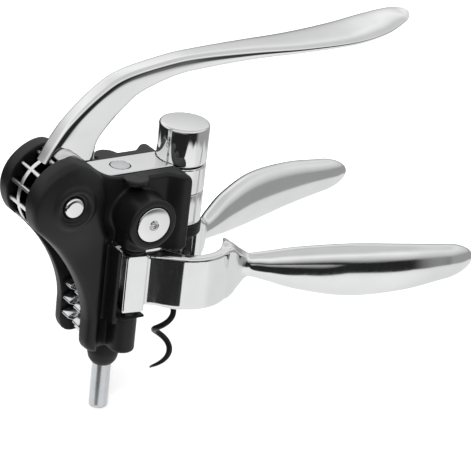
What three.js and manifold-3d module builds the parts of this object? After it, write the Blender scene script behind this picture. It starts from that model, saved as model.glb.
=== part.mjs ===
// Lever corkscrew: two black side shells carry a swinging lever, a geared carriage with a worm,
// and two gripping jaws. Millimetres, +Z up, +X from the body towards the tips of the handles.
// Design coordinates put X = 0 on the guide rod's axis and Z = 0 on top of the bridge; the whole
// assembly is then moved so that its origin is the middle of the bottle neck held in the jaws.
import * as THREE from 'three';
import { mergeVertices } from 'three/addons/utils/BufferGeometryUtils.js';
import Module from 'manifold-3d';

const wasm = await Module();
wasm.setup();

// ---- driving dimensions -------------------------------------------------------------------
const GAP = 0.3;                    // clearance between pieces that rest against each other
const RUN = 0.08;                   // radial running clearance of a shaft in its hole
const deg = THREE.MathUtils.degToRad;

const PIVOT = { x: -29.5, z: -7.3 };  // lever axle
const EAR_R = 17.5;
const MODULE = 2.2;                 // gear and rack
const TEETH_ROUND = 13;             // teeth that a full circle would hold
const PRESSURE = deg(25);
const BACKLASH = 0.35;
const PITCH_R = MODULE * TEETH_ROUND / 2;
const TIP_R = PITCH_R + 0.91 * MODULE;
const ROOT_R = PITCH_R - 1.18 * MODULE;
const TOOTH_STEP = 2 * Math.PI / TEETH_ROUND;
const FIRST_TOOTH = deg(107.1);     // the tooth behind the lever's root
const GEAR_TEETH = 10;
const GEAR_HALF = 7.2;
const WEB_HALF = 1.1;

const RACK_STEP = Math.PI * MODULE;
const RACK_PITCH_X = PIVOT.x + PITCH_R;
const RACK = { root: RACK_PITCH_X + 1.25 * MODULE, back: -4.4, top: -5.3, bottom: -73.4, half: 6.8, slot: 1.7 };

const SHELL = { inner: 7.8, plate: 14.4, ear: 17.6, rounding: 4.2, top: 0, front: 26, under: -33.3 };
const LUG_RISE = 1.5;               // how far the rounded corner lug stands above the shell's top
const LEG = { rear: -17.4, front: -6.2, bottom: -77.2 };
const HINGE = { x: 0, out: 16.5, blockR: 5.6, blockTop: -3, blockLow: -29.4, blockFront: 8, lowTop: -58.4, lowBottom: -75.5 };
const BOSS = { x: 2.8, z: -16.2, r: 11, face: 24.6 };

const ROD = { r: 4, bottom: -111 };
const BRIDGE = { rear: -12.6, half: 7.3, thick: 5 };
const BARREL = { x: 29, r: 10.5, bore: 7, top: 15, ringTop: -2, ringBottom: -13.5, sleeveBottom: -27.4 };
const COLLAR = { r: 11, bottom: -33, cavity: 8.2 };

const WORM = { pitch: 18.5, r: 3.7, wire: 1.25, tip: -101, tipAngle: deg(125), bend: -14, shankTop: 7 };

const JAW = { inner: 16, outer: 20.5, top: -35.3, barrelTop: -31, bottom: -57.7, barrelR: 4.7 };
const OPEN_RIGHT = deg(10);         // how far each jaw stands open from a 32 mm neck
const OPEN_LEFT = deg(9);
const ORIGIN = { x: BARREL.x, z: (JAW.top + JAW.bottom) / 2 };

// Under and upper edge of the lever (x, z of each) and half its width, from hub to tip.
const LEVER_STATIONS = [
  [-14.2, 6, -37, 7, 3.9],
  [-13.6, 13, -32.6, 14.6, 3.9],
  [-8.9, 19.7, -26, 23.4, 3.9],
  [-1.7, 27.2, -14, 34, 4.1],
  [5.4, 32.3, -2.5, 40.2, 4.3],
  [19.7, 37.2, 18.3, 44.3, 4.7],
  [34, 38.9, 33.6, 45.5, 5.3],
  [55.5, 40.5, 55.5, 45.9, 7],
  [80, 41.4, 80, 45.8, 9.4],
  [103.4, 42.9, 102.9, 46.9, 11.4],
  [119, 45.8, 118.3, 49.2, 11],
  [129.5, 49, 128.6, 51.6, 8.2],
  [135.6, 51.7, 135.2, 52.8, 2.8],
];

// Middle line of a closed jaw's handle (x, outward, rise) with half height and half thickness.
const HANDLE_STATIONS = [
  [46.5, 8.4, 0, 10.4, 4],
  [51, 8.2, 0.2, 9, 4],
  [55.3, 8.8, 0.4, 5.2, 3.7],
  [62, 11.6, 0.6, 6.5, 4.7],
  [75, 16.6, 0.8, 9.6, 5.8],
  [96, 22.4, 1, 11.8, 6.5],
  [120, 24.8, 1.2, 10.6, 5.9],
  [140, 23.8, 1.3, 7, 4.3],
  [150.5, 22.2, 1.3, 3.6, 2.5],
  [154.8, 21.4, 1.3, 1, 0.9],
];

// ---- materials ----------------------------------------------------------------------------
const finish = (color, roughness, metalness) => new THREE.MeshStandardMaterial({ color, roughness, metalness });
const CHROME = finish(0xd4d6d8, 0.12, 1);
const STEEL = finish(0xb9bcbf, 0.3, 1);
const BLACK_SHELL = finish(0x29292b, 0.45, 0);
const BLACK_NYLON = finish(0x1b1b1d, 0.5, 0);
const NONSTICK = finish(0x141416, 0.35, 0.1);
const BRONZE = finish(0xb08a4a, 0.35, 1);

// ---- solids -------------------------------------------------------------------------------
function solid(geometry) {
  const bare = geometry.clone();
  bare.deleteAttribute('normal');
  bare.deleteAttribute('uv');
  const merged = mergeVertices(bare, 1e-4);
  return new wasm.Manifold(new wasm.Mesh({
    numProp: 3,
    vertProperties: Float32Array.from(merged.attributes.position.array),
    triVerts: Uint32Array.from(merged.index.array),
  }));
}

function geometryOf(shape) {
  const mesh = shape.getMesh();
  const geometry = new THREE.BufferGeometry();
  geometry.setAttribute('position', new THREE.BufferAttribute(Float32Array.from(mesh.vertProperties), 3));
  geometry.setIndex(new THREE.BufferAttribute(Uint32Array.from(mesh.triVerts), 1));
  geometry.computeVertexNormals();
  return geometry;
}

const join = (first, ...others) => others.reduce((sum, part) => sum.add(part), first);
const cut = (first, ...others) => others.reduce((rest, part) => rest.subtract(part), first);

function post(r, low, high, x = 0, y = 0, sides = 24) {
  const geometry = new THREE.CylinderGeometry(r, r, high - low, sides);
  return solid(geometry.rotateX(Math.PI / 2).translate(x, y, (low + high) / 2));
}

function crossPost(r, from, to, x, z, sides = 24) {
  const geometry = new THREE.CylinderGeometry(r, r, Math.abs(to - from), sides);
  return solid(geometry.translate(x, (from + to) / 2, z));
}

function block(x0, x1, y0, y1, z0, z1) {
  const geometry = new THREE.BoxGeometry(x1 - x0, Math.abs(y1 - y0), z1 - z0);
  return solid(geometry.translate((x0 + x1) / 2, (y0 + y1) / 2, (z0 + z1) / 2));
}

// A closed outline in X and Z, given thickness between two Y values.
function slab(shape, from, to, segments = 6) {
  const low = Math.min(from, to);
  const high = Math.max(from, to);
  const geometry = new THREE.ExtrudeGeometry(shape, { depth: high - low, bevelEnabled: false, curveSegments: segments });
  return solid(geometry.rotateX(Math.PI / 2).translate(0, high, 0));
}

// A closed outline in X and Y, given height between two Z values.
function layer(shape, low, high, segments = 12) {
  const options = { depth: high - low, bevelEnabled: false, curveSegments: segments };
  return solid(new THREE.ExtrudeGeometry(shape, options).translate(0, 0, low));
}

const outline = (points) => new THREE.Shape(points.map(([a, b]) => new THREE.Vector2(a, b)));

// A turned piece about the Z axis through (x, y); the profile lists (radius, z) and closes on itself.
function turned(profile, x = 0, y = 0, sides = 24) {
  const points = profile.map(([r, z]) => new THREE.Vector2(r, z));
  points.push(points[0].clone());
  const geometry = new THREE.LatheGeometry(points, sides).rotateX(Math.PI / 2);
  return outward(solid(geometry.translate(x, y, 0)), geometry);
}

// A profile given in either direction becomes a solid with its faces pointing out.
function outward(shape, geometry) {
  if (shape.volume() > 0) return shape;
  const index = geometry.index.array;
  for (let i = 0; i < index.length; i += 3) {
    [index[i + 1], index[i + 2]] = [index[i + 2], index[i + 1]];
  }
  return solid(geometry);
}

// Rings of points, joined ring to ring and closed with a fan at each end.
function loft(rings) {
  const count = rings[0].length;
  const positions = rings.flat().flatMap((p) => [p.x, p.y, p.z]);
  const index = [];
  for (let i = 0; i + 1 < rings.length; i += 1) {
    for (let k = 0; k < count; k += 1) {
      const a = i * count + k;
      const b = i * count + (k + 1) % count;
      index.push(a, b, a + count, b, b + count, a + count);
    }
  }
  const last = (rings.length - 1) * count;
  for (let k = 1; k + 1 < count; k += 1) {
    index.push(0, k + 1, k);
    index.push(last, last + k, last + k + 1);
  }
  const geometry = new THREE.BufferGeometry();
  geometry.setAttribute('position', new THREE.Float32BufferAttribute(positions, 3));
  geometry.setIndex(index);
  return outward(solid(geometry), geometry);
}

// Points of a rounded box section: power 1 is an ellipse, smaller is squarer.
function sectionRing(centre, across, along, power, sides) {
  return Array.from({ length: sides }, (_, k) => {
    const angle = 2 * Math.PI * (k + 0.5) / sides;
    const u = Math.sign(Math.cos(angle)) * Math.abs(Math.cos(angle)) ** power;
    const v = Math.sign(Math.sin(angle)) * Math.abs(Math.sin(angle)) ** power;
    return centre.clone().addScaledVector(across, u).addScaledVector(along, v);
  });
}

function smoothRow(rows, columns, count) {
  const curve = new THREE.CatmullRomCurve3(rows.map((row) => new THREE.Vector3(...columns.map((c) => row[c] ?? 0))));
  return Array.from({ length: count }, (_, i) => curve.getPoint(i / (count - 1)));
}

// ---- lever with its gear ------------------------------------------------------------------
const involute = (angle) => Math.tan(angle) - angle;
const polar = (r, angle) => [PIVOT.x + r * Math.cos(angle), PIVOT.z + r * Math.sin(angle)];

function gearTooth(angle) {
  const baseR = PITCH_R * Math.cos(PRESSURE);
  const halfAtPitch = (RACK_STEP / 2 - BACKLASH) / (2 * PITCH_R);
  const halfAt = (r) => halfAtPitch + involute(PRESSURE) - involute(Math.acos(baseR / Math.max(r, baseR)));
  const radii = [ROOT_R - 1.5, baseR, PITCH_R, (PITCH_R + TIP_R) / 2, TIP_R];
  const rising = radii.map((r) => polar(r, angle - halfAt(r)));
  const falling = radii.map((r) => polar(r, angle + halfAt(r))).reverse();
  return slab(outline([...rising, ...falling]), -GEAR_HALF, GEAR_HALF);
}

function sector(r, from, to, steps) {
  const rim = Array.from({ length: steps + 1 }, (_, i) => polar(r, from + (to - from) * i / steps));
  return outline([...rim, [PIVOT.x, PIVOT.z]]);
}

function leverArm() {
  const count = 21;
  const under = smoothRow(LEVER_STATIONS, [0, 9, 1], count);
  const upper = smoothRow(LEVER_STATIONS, [2, 9, 3], count);
  const widths = smoothRow(LEVER_STATIONS, [4], count);
  const rings = under.map((low, i) => {
    const centre = low.clone().add(upper[i]).multiplyScalar(0.5);
    const across = upper[i].clone().sub(low).multiplyScalar(0.5);
    return sectionRing(centre, across, new THREE.Vector3(0, widths[i].x, 0), 0.55, 10);
  });
  return loft(rings);
}

function lever() {
  const teeth = Array.from({ length: GEAR_TEETH }, (_, k) => gearTooth(FIRST_TOOTH + k * TOOTH_STEP));
  const hub = crossPost(ROOT_R, -GEAR_HALF, GEAR_HALF, PIVOT.x, PIVOT.z, 28);
  const shoulder = slab(sector(TIP_R, deg(14), deg(100), 8), -GEAR_HALF, GEAR_HALF);
  const lastTooth = FIRST_TOOTH + (GEAR_TEETH - 1) * TOOTH_STEP;
  const web = slab(sector(TIP_R - 0.2, FIRST_TOOTH, lastTooth, 20), -WEB_HALF, WEB_HALF);
  const bore = crossPost(LEVER_BUSH.outer + GAP, -20, 20, PIVOT.x, PIVOT.z);
  return cut(join(hub, shoulder, web, ...teeth, leverArm()), bore);
}

const AXLE_R = 3.5;
const LEVER_BUSH = { inner: AXLE_R + RUN, outer: 5 };

function leverBush() {
  const outer = crossPost(LEVER_BUSH.outer, -GEAR_HALF - 0.25, GEAR_HALF + 0.25, PIVOT.x, PIVOT.z);
  return cut(outer, crossPost(LEVER_BUSH.inner, -20, 20, PIVOT.x, PIVOT.z));
}

// ---- rack, rod and carriage ----------------------------------------------------------------
// The rack's gaps lie where the gear tooth that points at it stands when the lever is down.
const MESHED_TOOTH = FIRST_TOOTH + (GEAR_TEETH - 1) * TOOTH_STEP - 2 * Math.PI;
const FIRST_GAP_Z = PIVOT.z + PITCH_R * MESHED_TOOTH;
const PIN_HEIGHTS = [-14.8, -70];
const PIN_R = 1.2;

const pinHoles = () => PIN_HEIGHTS.map((z) => sidePin(PIN_R + GAP, -20, 3, z));

function sidePin(r, from, to, z) {
  const geometry = new THREE.CylinderGeometry(r, r, to - from, 16);
  return solid(geometry.rotateZ(Math.PI / 2).translate((from + to) / 2, 0, z));
}

function rack() {
  const halfAtPitch = (RACK_STEP / 2 - BACKLASH) / 2;
  const tip = -0.96 * MODULE;
  const halfAt = (depth) => halfAtPitch + depth * Math.tan(PRESSURE);
  const bar = block(RACK.root, RACK.back, -RACK.half, RACK.half, RACK.bottom, RACK.top);
  const teeth = [];
  for (let z = FIRST_GAP_Z - RACK_STEP / 2; z > RACK.bottom + 1; z -= RACK_STEP) {
    const profile = outline([
      [RACK.root + 0.5, z - halfAt(RACK.root - RACK_PITCH_X)],
      [RACK.root + 0.5, z + halfAt(RACK.root - RACK_PITCH_X)],
      [RACK_PITCH_X + tip, z + halfAt(tip)],
      [RACK_PITCH_X + tip, z - halfAt(tip)],
    ]);
    teeth.push(slab(profile, -RACK.half, RACK.half));
  }
  const slot = block(RACK.root - 10, RACK.root - 0.2, -RACK.slot, RACK.slot, RACK.bottom - 5, RACK.top + 5);
  const rodSide = post(ROD.r + GAP, RACK.bottom - 5, RACK.top + 5);
  return cut(join(bar, ...teeth), slot, rodSide, ...pinHoles());
}

function guideRod() {
  const rod = turned([[0, ROD.bottom], [ROD.r - 1, ROD.bottom], [ROD.r, ROD.bottom + 1], [ROD.r, 0], [0, 0]]);
  return cut(rod, ...pinHoles());
}

function bridge() {
  const plate = block(BRIDGE.rear, BARREL.x - 8, -BRIDGE.half, BRIDGE.half, -BRIDGE.thick, 0);
  const ring = post(BARREL.r, BARREL.ringBottom, BARREL.ringTop, BARREL.x, 0, 32);
  const capSeat = post(BARREL.r + GAP, BARREL.ringTop, 5, BARREL.x, 0, 32);
  const rodHole = post(ROD.r + GAP, -20, 5);
  const bore = post(BARREL.bore, -20, 5, BARREL.x);
  return cut(join(plate, ring), rodHole, bore, capSeat);
}

function wormCap() {
  const roof = BARREL.top - 3.5;
  return turned([
    [BARREL.bore, BARREL.ringTop + GAP], [BARREL.r, BARREL.ringTop + GAP], [BARREL.r, BARREL.top - 0.8], [BARREL.r - 0.8, BARREL.top],
    [0, BARREL.top], [0, roof], [BARREL.bore, roof],
  ], BARREL.x, 0, 32);
}

const washer = (inner, outer, low, high, x = 0, y = 0) =>
  turned([[inner, low], [outer, low], [outer, high], [inner, high]], x, y);

// ---- worm and its nut ----------------------------------------------------------------------
// A round wire on a right-handed helix, straight at its shank and drawn out to a point at its tip.
function wormWire(wire, low, high, pointed) {
  const angleAt = (z) => WORM.tipAngle + 2 * Math.PI * (z - WORM.tip) / WORM.pitch;
  const steps = Math.ceil((high - low) / WORM.pitch * 16);
  const middle = (z) => {
    const pull = THREE.MathUtils.smoothstep(z, WORM.bend, -2);
    const r = WORM.r * (1 - pull);
    return new THREE.Vector3(BARREL.x + r * Math.cos(angleAt(z)), r * Math.sin(angleAt(z)), z);
  };
  const rings = Array.from({ length: steps + 1 }, (_, i) => {
    const z = low + (high - low) * i / steps;
    const ahead = middle(z + 0.05).sub(middle(z - 0.05)).normalize();
    const side = new THREE.Vector3(-Math.sin(angleAt(z)), Math.cos(angleAt(z)), 0).cross(ahead).normalize();
    const up = ahead.clone().cross(side);
    const taper = pointed ? Math.min(1, 0.12 + (z - low) / 9) : 1;
    return sectionRing(middle(z), side.multiplyScalar(wire * taper), up.multiplyScalar(wire * taper), 1, 7);
  });
  return loft(rings);
}

function wormNut() {
  const disc = post(COLLAR.cavity - GAP, COLLAR.bottom + 1.8, BARREL.sleeveBottom - 0.6, BARREL.x);
  return cut(disc, wormWire(WORM.wire + 0.4, COLLAR.bottom - 4, BARREL.sleeveBottom + 4, false));
}

// ---- side shells ---------------------------------------------------------------------------
// The outline of a shell in X and Z, drawn in by an inset; every inset has the same number of points.
function shellOutline(inset) {
  const shape = new THREE.Shape();
  const earStart = deg(48);
  const earEnd = deg(213);
  const r = EAR_R - inset;
  const rear = LEG.rear + inset;
  const bottom = LEG.bottom + inset;
  const front = SHELL.front - inset * 0.4;
  const top = SHELL.top - 0.2;
  shape.moveTo(...polar(r, earStart));
  shape.absarc(PIVOT.x, PIVOT.z, r, earStart, earEnd, false);
  shape.bezierCurveTo(-28 + inset, -30 + inset / 2, rear - 1, -47, rear, bottom + 16);
  shape.lineTo(rear, bottom + 7);
  shape.quadraticCurveTo(rear, bottom, rear + 7, bottom);
  shape.lineTo(HINGE.blockR - inset, bottom);
  shape.lineTo(HINGE.blockR - inset, HINGE.lowTop);
  shape.lineTo(LEG.front, HINGE.lowTop);
  shape.lineTo(LEG.front, HINGE.blockLow);
  shape.lineTo(HINGE.blockFront, HINGE.blockLow);
  shape.lineTo(HINGE.blockFront, SHELL.under);
  shape.lineTo(front - 2, SHELL.under);
  shape.lineTo(front, SHELL.under + 2);
  shape.lineTo(front, top - 4);
  shape.quadraticCurveTo(front, top + 0.4, front - 3.6, top + LUG_RISE);
  shape.lineTo(front - 6, top + LUG_RISE);
  shape.quadraticCurveTo(front - 8, top + LUG_RISE, front - 10, top);
  shape.lineTo(-4, top);
  shape.quadraticCurveTo(-11, top, ...polar(r, earStart));
  const points = shape.getPoints(7);
  return points.filter((p, i) => p.distanceTo(points[(i + 1) % points.length]) > 0.01);
}

// The plate of a shell: full size at its inner face, with a rounded edge towards its outer face.
function shellPlate(side) {
  const levels = [
    [SHELL.inner, 0],
    [SHELL.plate - SHELL.rounding, 0],
    [SHELL.plate - SHELL.rounding / 2, 0.9],
    [SHELL.plate, SHELL.rounding - 0.6],
  ];
  const outlines = levels.map(([, inset]) => shellOutline(inset));
  const count = outlines[0].length;
  const positions = outlines.flatMap((points, i) => points.flatMap((p) => [p.x, side * levels[i][0], p.y]));
  const index = [];
  for (let i = 0; i + 1 < levels.length; i += 1) {
    for (let k = 0; k < count; k += 1) {
      const a = i * count + k;
      const b = i * count + (k + 1) % count;
      index.push(a, a + count, b, b, a + count, b + count);
    }
  }
  const last = (levels.length - 1) * count;
  for (const [a, b, c] of THREE.ShapeUtils.triangulateShape(outlines[0], [])) index.push(a, b, c);
  for (const [a, b, c] of THREE.ShapeUtils.triangulateShape(outlines.at(-1), [])) {
    index.push(last + a, last + c, last + b);
  }
  const geometry = new THREE.BufferGeometry();
  geometry.setAttribute('position', new THREE.Float32BufferAttribute(positions, 3));
  geometry.setIndex(index);
  return outward(solid(geometry), geometry);
}

function earDome(side) {
  const rim = SHELL.inner + 0.6;
  const points = [
    [0, SHELL.inner], [EAR_R, SHELL.inner], [EAR_R, rim], [EAR_R - 1.3, rim + 3.4], [EAR_R - 4, rim + 6.8],
    [EAR_R - 8, SHELL.ear - 0.3], [0, SHELL.ear - 0.3],
  ].map(([r, out]) => new THREE.Vector2(r, side * out));
  const geometry = new THREE.LatheGeometry(points, 32).translate(PIVOT.x, 0, PIVOT.z);
  return outward(solid(geometry), geometry);
}

function sideShell(side) {
  const at = (out) => side * out;
  const hingeY = at(HINGE.out);
  const column = (low, high) => join(
    post(HINGE.blockR, low, high, HINGE.x, hingeY),
    block(-HINGE.blockR, HINGE.blockR, at(SHELL.plate - 2), hingeY, low, high),
  );
  const boss = crossPost(BOSS.r, at(SHELL.plate - 2), at(BOSS.face), BOSS.x, BOSS.z, 28);
  const foot = block(-7, HINGE.blockR, at(GAP / 2), at(SHELL.inner + 1), LEG.bottom, RACK.bottom - 0.6);
  const body = join(
    shellPlate(side),
    earDome(side),
    boss,
    foot,
    column(HINGE.blockLow, HINGE.blockTop),
    column(HINGE.lowBottom, HINGE.lowTop),
  );
  return cut(
    body,
    crossPost(AXLE_R + GAP, 0, at(30), PIVOT.x, PIVOT.z),
    crossPost(AXLE_CAP.r + GAP, at(AXLE_CAP.seat - GAP), at(30), PIVOT.x, PIVOT.z),
    crossPost(8, at(SHELL.ear - 0.7), at(30), PIVOT.x, PIVOT.z),
    crossPost(SCREW.shank + GAP, 0, at(30), BOSS.x, BOSS.z),
    crossPost(SCREW.head + GAP, at(SCREW.seat - GAP), at(30), BOSS.x, BOSS.z),
    post(HINGE_PIN.r + GAP, HINGE_PIN.bottom - 5, HINGE_PIN.top + GAP, HINGE.x, hingeY),
    post(BARREL.r + GAP, -60, 10, BARREL.x, 0, 32),
    post(COLLAR.r + GAP, COLLAR.bottom - 5, BARREL.sleeveBottom, BARREL.x, 0, 32),
    post(GUIDE.neck + GAP, -100, RACK.bottom + 5),
  );
}

const AXLE_CAP = { r: 5, seat: 15.6, face: 18.7 };
const SCREW = { shank: 3, head: 7.5, seat: 22.4, tip: 5.2, face: 27.2, socket: 1.9 };
const HINGE_PIN = { r: 2.5, top: -23, bottom: -74.6 };
const GUIDE = { neck: 5.2, r: 6.8, bottom: -90 };

function axleCap(side) {
  const points = [
    [0, AXLE_CAP.seat], [AXLE_CAP.r, AXLE_CAP.seat], [AXLE_CAP.r, AXLE_CAP.face - 0.9],
    [AXLE_CAP.r - 1.3, AXLE_CAP.face - 0.2], [AXLE_CAP.r - 3, AXLE_CAP.face], [0, AXLE_CAP.face],
  ].map(([r, out]) => new THREE.Vector2(r, side * out));
  const geometry = new THREE.LatheGeometry(points, 24).translate(PIVOT.x, 0, PIVOT.z);
  return outward(solid(geometry), geometry);
}

function frameScrew(side) {
  const at = (out) => side * out;
  const head = crossPost(SCREW.head, at(SCREW.seat), at(SCREW.face), BOSS.x, BOSS.z);
  const shank = crossPost(SCREW.shank, at(SCREW.tip), at(SCREW.seat + 1), BOSS.x, BOSS.z);
  const socket = crossPost(SCREW.socket, at(SCREW.face - 2), at(30), BOSS.x, BOSS.z, 6);
  return cut(join(head, shank), socket);
}

// The frame between the shells: the rod runs in its open channel and both frame screws end in it.
function guideBlock() {
  const body = block(-3.6, 17.4, -SHELL.inner + GAP, SHELL.inner - GAP, SHELL.under + 0.8, -BRIDGE.thick - 1.5);
  return cut(
    body,
    post(ROD.r + RUN, -60, 10),
    crossPost(SCREW.shank + GAP, -20, 20, BOSS.x, BOSS.z),
  );
}

function guideCollar() {
  const top = RACK.bottom - 0.8;
  const seat = LEG.bottom - GAP;
  return turned([
    [ROD.r + RUN, top], [GUIDE.neck, top], [GUIDE.neck, seat], [GUIDE.r, seat], [GUIDE.r, GUIDE.bottom + 5.5],
    [GUIDE.r - 0.8, GUIDE.bottom + 2], [GUIDE.r - 2.2, GUIDE.bottom], [ROD.r + RUN, GUIDE.bottom],
  ]);
}

// ---- jaws ----------------------------------------------------------------------------------
// Built closed about its hinge, with "outward" away from the middle plane; side is -1 or 1.
const JAW_BUSH = { inner: HINGE_PIN.r + RUN, outer: 3.5 };

function jaw(side) {
  const place = ([x, out]) => [x, side * (out - HINGE.out)];
  const ringAt = (r, angle) => [BARREL.x + r * Math.cos(angle), r * Math.sin(angle)];
  const arc = (r, from, to, steps) =>
    Array.from({ length: steps + 1 }, (_, i) => ringAt(r, from + (to - from) * i / steps));
  const nose = [[45, 0.8], [52, 3.5], [52.5, 8.5], [48, 12.2]];
  const band = outline([...nose, ...arc(JAW.outer, deg(45), deg(146), 10), ...arc(JAW.inner, deg(146), deg(8), 14)].map(place));
  const arm = outline([[1, 12.4], [4.8, 16.5], [8, 14.5], [15.6, 17.4], [17.6, 16.2], [15.4, 9.2], [9, 9.4]].map(place));
  const count = 17;
  const middle = smoothRow(HANDLE_STATIONS, [0, 1, 2], count);
  const sizes = smoothRow(HANDLE_STATIONS, [3, 4], count);
  const rings = middle.map((p, i) => {
    const before = middle[Math.max(i - 1, 0)];
    const after = middle[Math.min(i + 1, count - 1)];
    const ahead = after.clone().sub(before).setZ(0).normalize();
    const across = new THREE.Vector3(-ahead.y, ahead.x, 0).multiplyScalar(sizes[i].y);
    across.y *= side;
    const [x, y] = place([p.x, p.y]);
    return sectionRing(new THREE.Vector3(x, y, ORIGIN.z + p.z), across, new THREE.Vector3(0, 0, sizes[i].x), 0.9, 12);
  });
  const neckHole = post(JAW.inner, JAW.bottom - 5, JAW.top + 5, BARREL.x, -side * HINGE.out, 36);
  const body = join(
    layer(band, JAW.bottom, JAW.top),
    layer(arm, JAW.bottom, JAW.top),
    post(JAW.barrelR, JAW.bottom, JAW.barrelTop),
    loft(rings),
  );
  return cut(body, neckHole, post(JAW_BUSH.outer + GAP, JAW.bottom - 5, JAW.barrelTop + 5));
}

const jawBush = () => washer(JAW_BUSH.inner, JAW_BUSH.outer, JAW.bottom, JAW.barrelTop);
const hingeWasher = () => washer(HINGE_PIN.r + GAP, JAW.barrelR, JAW.barrelTop + GAP, HINGE.blockLow - GAP);

// ---- assembly ------------------------------------------------------------------------------
const group = new THREE.Group();
const assembly = new THREE.Group();
assembly.position.set(-ORIGIN.x, 0, -ORIGIN.z);
group.add(assembly);

function add(name, shape, material, parent = assembly) {
  const mesh = new THREE.Mesh(geometryOf(shape), material);
  mesh.name = name;
  parent.add(mesh);
}

for (const [word, side, open] of [['right', -1, -OPEN_RIGHT], ['left', 1, OPEN_LEFT]]) {
  add(`${word}_side_shell`, sideShell(side), BLACK_SHELL);
  add(`${word}_axle_cap`, axleCap(side), CHROME);
  add(`${word}_frame_screw`, frameScrew(side), CHROME);

  const hinge = new THREE.Group();
  hinge.position.set(HINGE.x, side * HINGE.out, 0);
  assembly.add(hinge);
  add(`${word}_hinge_pin`, post(HINGE_PIN.r, HINGE_PIN.bottom, HINGE_PIN.top), STEEL, hinge);
  add(`${word}_hinge_washer`, hingeWasher(), BLACK_NYLON, hinge);

  const swing = new THREE.Group();
  swing.rotation.z = open;
  hinge.add(swing);
  add(`${word}_jaw`, jaw(side), CHROME, swing);
  add(`${word}_jaw_bush`, jawBush(), BLACK_NYLON, swing);
}

add('lever_axle', crossPost(AXLE_R, -AXLE_CAP.seat + 0.4, AXLE_CAP.seat - 0.4, PIVOT.x, PIVOT.z), STEEL);
add('lever', lever(), CHROME);
add('lever_bush', leverBush(), BLACK_NYLON);

add('bridge', bridge(), CHROME);
add('worm_cap', wormCap(), CHROME);
add('guide_rod', guideRod(), STEEL);
add('rack', rack(), CHROME);
add('upper_rack_pin', sidePin(PIN_R, -11.8, 2.4, PIN_HEIGHTS[0]), STEEL);
add('lower_rack_pin', sidePin(PIN_R, -11.8, 2.4, PIN_HEIGHTS[1]), STEEL);
add('thrust_washer', washer(2, 6.3, 8.8, 10.4, BARREL.x), BRONZE);
add('retaining_ring', washer(3, 6.7, -6.4, -4, BARREL.x), STEEL);

add('worm', wormWire(WORM.wire, WORM.tip, WORM.shankTop, true), NONSTICK);
add('worm_hub', cut(post(6.3, -3.6, 8.5, BARREL.x), post(WORM.wire + 0.4, -5, 7.5, BARREL.x)), BLACK_NYLON);

add('guide_block', guideBlock(), BLACK_NYLON);
add('guide_collar', guideCollar(), BLACK_NYLON);
add('nut_sleeve', washer(COLLAR.cavity, BARREL.r, BARREL.sleeveBottom, BARREL.ringBottom - GAP, BARREL.x), CHROME);
add('nut_collar', turned([
  [5.7, COLLAR.bottom], [COLLAR.r, COLLAR.bottom], [COLLAR.r, BARREL.sleeveBottom - GAP],
  [COLLAR.cavity, BARREL.sleeveBottom - GAP], [COLLAR.cavity, COLLAR.bottom + 1.5], [5.7, COLLAR.bottom + 1.5],
], BARREL.x, 0, 32), BLACK_NYLON);
add('worm_nut', wormNut(), BLACK_NYLON);

export default group;
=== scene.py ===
"""Looks of a lever corkscrew: cast and plated levers, moulded black side shells, machined steel.

Shapes are worked out in millimetres on the bench axes of the part: X = 0 on the guide rod's axis,
Z = 0 on top of the bridge, +X towards the tips of the handles. "out" is the distance from the
middle plane, so one formula serves the right side (y = -out) and the left side (y = out).
"""

import math

import bmesh
import bpy
import numpy as np
from mathutils import Matrix, Vector


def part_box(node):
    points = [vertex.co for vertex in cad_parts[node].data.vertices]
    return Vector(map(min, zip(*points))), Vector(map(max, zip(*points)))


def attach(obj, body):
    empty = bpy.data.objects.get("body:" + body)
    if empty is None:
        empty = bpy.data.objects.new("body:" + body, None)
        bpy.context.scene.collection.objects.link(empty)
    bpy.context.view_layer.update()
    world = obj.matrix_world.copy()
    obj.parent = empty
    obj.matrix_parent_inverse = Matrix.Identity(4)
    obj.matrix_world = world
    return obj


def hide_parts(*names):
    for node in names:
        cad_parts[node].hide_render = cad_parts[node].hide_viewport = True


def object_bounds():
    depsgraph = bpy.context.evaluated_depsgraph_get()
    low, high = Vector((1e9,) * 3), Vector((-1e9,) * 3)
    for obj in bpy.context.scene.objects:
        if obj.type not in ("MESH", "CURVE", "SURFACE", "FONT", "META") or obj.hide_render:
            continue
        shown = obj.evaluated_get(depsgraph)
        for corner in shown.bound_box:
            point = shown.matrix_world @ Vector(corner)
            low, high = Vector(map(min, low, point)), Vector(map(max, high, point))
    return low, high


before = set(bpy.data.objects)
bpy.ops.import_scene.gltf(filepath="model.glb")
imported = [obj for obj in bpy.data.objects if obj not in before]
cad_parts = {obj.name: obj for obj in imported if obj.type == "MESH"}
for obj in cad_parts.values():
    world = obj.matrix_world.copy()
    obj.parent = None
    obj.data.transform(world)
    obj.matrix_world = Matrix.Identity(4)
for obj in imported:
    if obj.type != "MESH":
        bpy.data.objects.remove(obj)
cad_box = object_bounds()


# ---- where the part says things are ---------------------------------------------------------
def middle(node):
    low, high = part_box(node)
    return (low + high) / 2


BENCH = np.array([middle("guide_rod").x, 0.0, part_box("bridge")[1].z])


def on_bench(place):
    return (np.array(place) - BENCH) * 1000


PIVOT_X, _, PIVOT_Z = on_bench(middle("lever_bush"))
BARREL_X = on_bench(middle("worm_cap"))[0]
ROD_BOTTOM = on_bench(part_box("guide_rod")[0])[2]
JAW_BOTTOM = on_bench(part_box("right_jaw_bush")[0])[2]
JAW_POST_TOP = on_bench(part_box("right_jaw_bush")[1])[2]
HINGE_OUT = on_bench(middle("left_hinge_pin"))[1]
BOSS_X, _, BOSS_Z = on_bench(middle("left_frame_screw"))

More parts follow.
